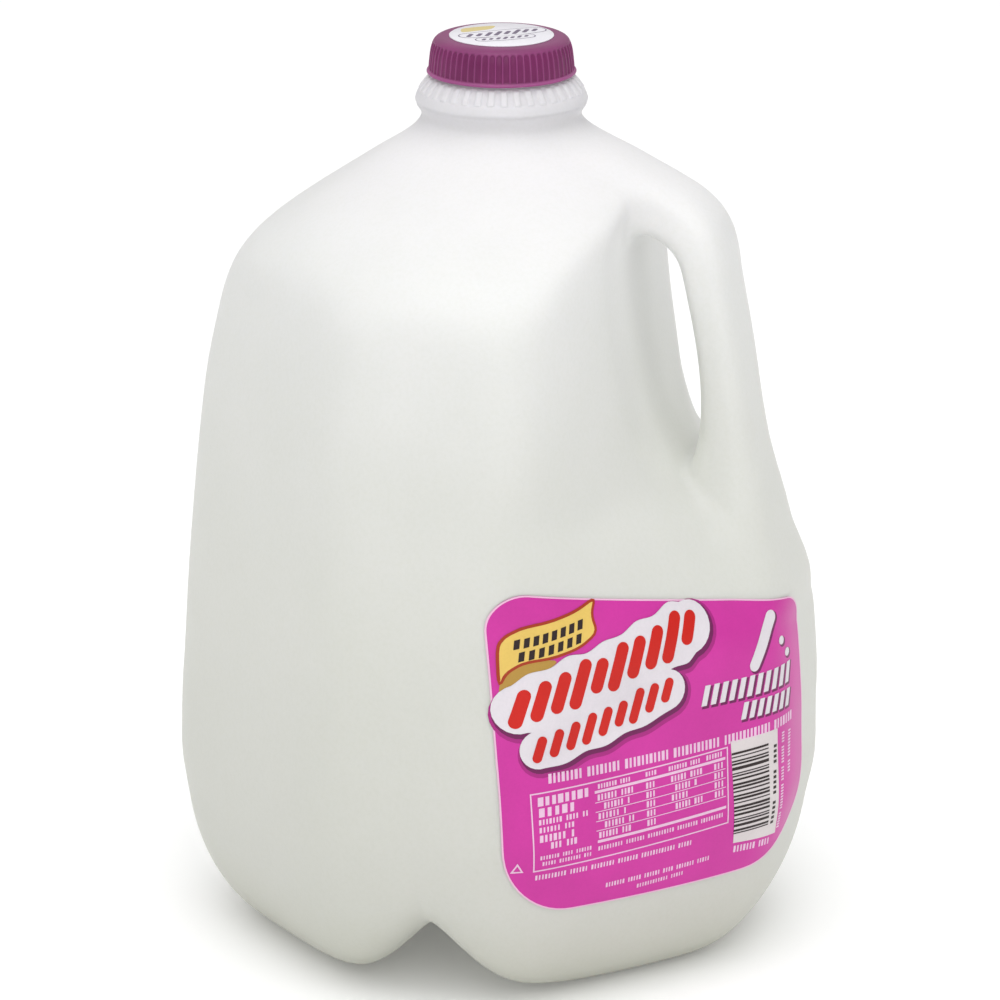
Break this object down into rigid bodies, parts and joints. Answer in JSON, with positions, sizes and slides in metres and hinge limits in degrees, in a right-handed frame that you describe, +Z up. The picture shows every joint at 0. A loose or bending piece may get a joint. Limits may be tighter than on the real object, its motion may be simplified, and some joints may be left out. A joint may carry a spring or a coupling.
{
  "type": "plastic milk jug",
  "caption": "Full one-gallon blow-moulded milk jug with a corner handle, a ribbed cap with a paper disc, and a plain coloured label on one face.",
  "frame": {"origin": "on the surface the jug stands on, at the middle of its footprint, under the neck", "axes": "+Z up, +X towards the corner that is the handle, the finger gap along Y, the label on the face between -Y and +X"},
  "size_m": [0.1773, 0.1776, 0.2542],
  "materials": {
    "jug_plastic": "satin translucent white polyethylene, milk showing white behind it",
    "cap_plastic": "satin moulded purple plastic, paler at the flange",
    "disc_print": "white coated paper with small plain shapes",
    "label_print": "glossy magenta film label with plain fields of colour and bars"
  },
  "bodies": {
    "root": {"jug": "jug_plastic", "cap": "cap_plastic", "cap_disc": "disc_print", "label": "label_print"}
  },
  "joints": []
}
